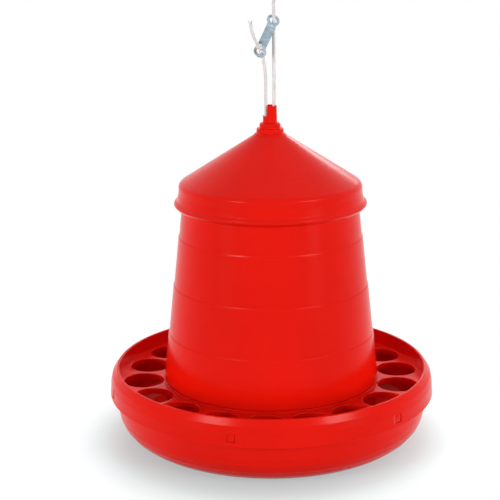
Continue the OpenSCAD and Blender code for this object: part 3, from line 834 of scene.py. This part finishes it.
def lid_shell():
    """The lid's cone with its flared brim below and the stepped boss on top."""
    brim = LID_LOW_Z + 6
    return spun_mesh(rounded([
        (LID_IN_R, LID_LOW_Z, 0.5), (LID_R + 2.4, LID_LOW_Z, 1.2), (LID_R + 7.2, brim - 1.2, 2.6),
        (LID_R + 2.2, brim + 3, 2.5), (LID_R + 0.2, SHOULDER_Z - 5, 3), (LID_R, SHOULDER_Z + 3.4, 5),
        (LID_R - 3, CONE_LOW_Z, 6), (BOSS_R, BOSS_LOW_Z, 1.2), (BOSS_R - 3.6, BOSS_LOW_Z + 3.4, 0.6),
        (BOSS_R - 4.6, BOSS_LOW_Z + 3.8, 0.3), (BOSS_R - 4.9, BOSS_LOW_Z + 9, 0.9),
        (BOSS_R - 8.2, BOSS_LOW_Z + 9.4, 0.5), (BOSS_R - 8.5, BOSS_TOP_Z - 1, 1.2),
        (BOSS_R - 10.2, BOSS_TOP_Z + 0.2, 0.8), (GUIDE_R - 0.1, BOSS_TOP_Z, 0.6),
        (GUIDE_R - 0.1, BOSS_TOP_Z + 0.8, 0), (GUIDE_BORE_R + 0.05, BOSS_TOP_Z + 0.8, 0),
        (GUIDE_BORE_R + 0.05, BOSS_LOW_Z + 6, 1), (BOSS_R - 8, BOSS_LOW_Z + 2, 1),
        (BOSS_R - 2, BOSS_LOW_Z - 2.6, 1), (LID_R - 7.4, CONE_LOW_Z - 2.6, 3),
        (LID_IN_R - 3.6, 305.2, 1), (LID_IN_R - 3.6, 303.2, 0.4), (LID_IN_R, 303.2, 0.4)]))


def rope_guide():
    """The short tube the rope leaves through: low on the left, a taller tongue on the right."""
    half = math.acos(-TONGUE_LEFT / GUIDE_R)
    columns = 120
    angles = [2 * math.pi * k / columns for k in range(columns)]
    # closer together where the tongue's sides rise
    for side in (half, 2 * math.pi - half):
        angles += [side + d for d in (-0.06, -0.04, -0.02, 0, 0.02, 0.04, 0.06)]
    angles = sorted(set(round(a, 5) for a in angles))
    foot, lip, rows = BOSS_TOP_Z - 1, 0.35, 26
    corner, step = 1.6, 0.25    # the tongue's rounding, and the width its side rises over

    def top(a):
        """Height of the tube's edge: the tongue's two upper corners are rounded."""
        past = (half - min(a, 2 * math.pi - a)) * GUIDE_R
        if past <= 0:
            return GUIDE_LOW
        if past <= step:
            return GUIDE_LOW + (GUIDE_HIGH - 1.2 - GUIDE_LOW) * past / step
        drop = corner - math.sqrt(corner ** 2 - max(0.0, corner - past) ** 2)
        return GUIDE_HIGH - drop * 0.8

    def outer_r(z):
        """The tube narrows a little towards its top."""
        return GUIDE_R - 0.55 * (z - foot) / (GUIDE_HIGH - foot)

    points = []
    for a in angles:
        high = top(a)
        heights = [foot + (high - lip - foot) * k / rows for k in range(rows + 1)]
        column = [(outer_r(z), z) for z in heights]
        column += [(outer_r(high) - 0.1, high - 0.1), (outer_r(high) - lip, high),
                   (GUIDE_BORE_R + 0.1, high), (GUIDE_BORE_R, high - 0.15)]
        column += [(GUIDE_BORE_R, z) for z in reversed(heights)]
        points += [(r * math.cos(a) * MM, r * math.sin(a) * MM, z * MM) for r, z in column]
    n = len(points) // len(angles)
    faces = []
    for c in range(len(angles)):
        d = (c + 1) % len(angles)
        for r in range(n):
            s = (r + 1) % n
            faces.append((c * n + r, d * n + r, d * n + s, c * n + s))
    mesh = mesh_from(points, faces)
    outwards(mesh)
    smooth(mesh)
    return mesh


def lid():
    """The lid and its rope guide, moulded in one."""
    link("lid_cone", joined([lid_shell(), rope_guide()]), "lid", RED, ["lid"])


# ---------------------------------------------------------------- what stays as made in CAD

CARRIED = {"hopper_spider": RED, "adjusting_nut": NYLON, "adjusting_washer": ZINC_ROD, "spider_screws": ZINC_ROD,
           "hanger_rod": ZINC_ROD, "rod_lock_nut": ZINC_ROD, "pan_washer": ZINC_ROD, "pan_nut": ZINC_ROD}


def carried_over():
    """The pieces inside keep their CAD shape and get their finish."""
    for name, material in CARRIED.items():
        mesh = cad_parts[name].data
        mesh.materials.clear()
        mesh.materials.append(material)


feed_pan()
feed_grille()
hopper()
lid()
carried_over()


# ---------------------------------------------------------------- stage and light


def shown_rays(tree):
    """1 for the rays that show the background: straight from the camera, mirrored, or through glass."""
    path = node(tree, "ShaderNodeLightPath").outputs
    mirrored = node(tree, "ShaderNodeMath", {0: path["Is Camera Ray"], 1: path["Is Glossy Ray"]}, operation="ADD")
    return node(tree, "ShaderNodeMath", {0: mirrored.outputs[0], 1: path["Is Transmission Ray"]},
                operation="ADD", use_clamp=True).outputs[0]


# The shadow painted on the floor, in metres from SHADOW_MIDDLE: it pales from SHADOW_DARK to SHADOW_PALE,
# and fades from FADE_FROM to FADE_TO, past which the floor shows plain white.
SHADOW_MIDDLE = (-0.012, -0.03, 0)
SHADOW_DARK, SHADOW_PALE = 0.13, 0.26
FADE_FROM, FADE_TO = 0.235, 0.39


def floor():
    """A plain pale floor that shows white, with a soft grey shadow round the feeder's foot, partly cast and partly
    painted.
    """
    material, tree = new_material("pale floor")
    paint = node(tree, "ShaderNodeBsdfDiffuse", Color=srgb("#A2A4A4"))
    # The shade is bluish green and the glow pinkish, which paints out the red the feeder throws into its shadow.
    shade = node(tree, "ShaderNodeBsdfDiffuse", Color=srgb("#89AAAA"))
    place = node(tree, "ShaderNodeTexCoord").outputs["Object"]
    centred = node(tree, "ShaderNodeVectorMath", {0: place}, operation="SUBTRACT")
    centred.inputs[1].default_value = SHADOW_MIDDLE
    out = node(tree, "ShaderNodeVectorMath", {0: centred.outputs[0]}, operation="LENGTH").outputs["Value"]
    open_floor = node(tree, "ShaderNodeMapRange", {"Value": out}, interpolation_type="SMOOTHSTEP",
                      From_Min=SHADOW_DARK, From_Max=SHADOW_PALE)
    # painted shadow: the floor's glow is darker near the feeder's foot
    painted_shadow_ramp = node(tree, "ShaderNodeValToRGB", {"Fac": open_floor.outputs["Result"]},
                [(0.0, "#A5A6A6"), (1.0, "#EEE5E5")])
    painted_shadow_glow = node(tree, "ShaderNodeEmission", {"Color": painted_shadow_ramp.outputs["Color"]}, Strength=1.0)
    shade_and_painted_shadow = node(tree, "ShaderNodeAddShader", {0: shade.outputs[0], 1: painted_shadow_glow.outputs[0]})
    white = node(tree, "ShaderNodeEmission", Color=srgb("#FFFFFF"), Strength=1.0)
    away = node(tree, "ShaderNodeMapRange", {"Value": out}, interpolation_type="SMOOTHSTEP",
                From_Min=FADE_FROM, From_Max=FADE_TO)
    shown = node(tree, "ShaderNodeMixShader",
                 {"Fac": away.outputs["Result"], 1: shade_and_painted_shadow.outputs[0], 2: white.outputs[0]})
    finish_material(tree, node(tree, "ShaderNodeMixShader",
                               {"Fac": shown_rays(tree), 1: paint.outputs[0], 2: shown.outputs[0]}))
    size, low = 6.0, cad_box[0][2] - 0.0006
    corners = [(-size, -size, low), (size, -size, low), (size, size, low), (-size, size, low)]
    link("floor", mesh_from(corners, [(0, 1, 2, 3)]), None, material)


def softbox(name, place, size, power, mirrored):
    """A soft box that faces the feeder: a fill that gives light, or a window that is only mirrored in it."""
    data = bpy.data.lights.new(name, "AREA")
    data.shape = "RECTANGLE"
    data.size, data.size_y = size
    data.energy = power
    lamp = bpy.data.objects.new(name, data)
    bpy.context.scene.collection.objects.link(lamp)
    lamp.location = place
    lamp.rotation_euler = (Vector((0, 0, 0.2)) - Vector(place)).to_track_quat("-Z", "Y").to_euler()
    lamp.visible_glossy = mirrored
    lamp.visible_diffuse = not mirrored
    lamp.visible_camera = False


ROOM = 0.22    # how bright the room is for the light it gives


def lights():
    """A plain studio that shows white, with soft boxes round the feeder."""
    world = bpy.data.worlds.new("studio")
    bpy.context.scene.world = world
    world.use_nodes = True
    tree = world.node_tree
    tree.nodes.clear()
    level = node(tree, "ShaderNodeMapRange", {"Value": shown_rays(tree)}, To_Min=ROOM, To_Max=1.0)
    sky = node(tree, "ShaderNodeBackground", {"Strength": level.outputs["Result"]}, Color=srgb("#FFFFFF"))
    node(tree, "ShaderNodeOutputWorld", {"Surface": sky.outputs[0]})
    softbox("top box", (0.15, 0.5, 2.1), (1.0, 1.0), 12, mirrored=False)
    softbox("front left box", (-1.8, -1.3, 0.5), (0.7, 1.0), 33, mirrored=False)
    softbox("front right box", (1.8, -1.3, 0.5), (0.7, 1.0), 33, mirrored=False)
    softbox("back box", (0, 2.3, 0.8), (1.6, 1.0), 34, mirrored=False)
    softbox("left window", (-1.15, -1.1, 1.5), (0.6, 0.25), 10, mirrored=True)
    softbox("right window", (1.25, -0.95, 1.5), (0.6, 0.25), 10, mirrored=True)
    softbox("back window", (0.64, 1.82, 0.87), (0.3, 0.4), 1.5, mirrored=True)


floor()
lights()
bpy.context.scene.view_settings.view_transform = "Standard"
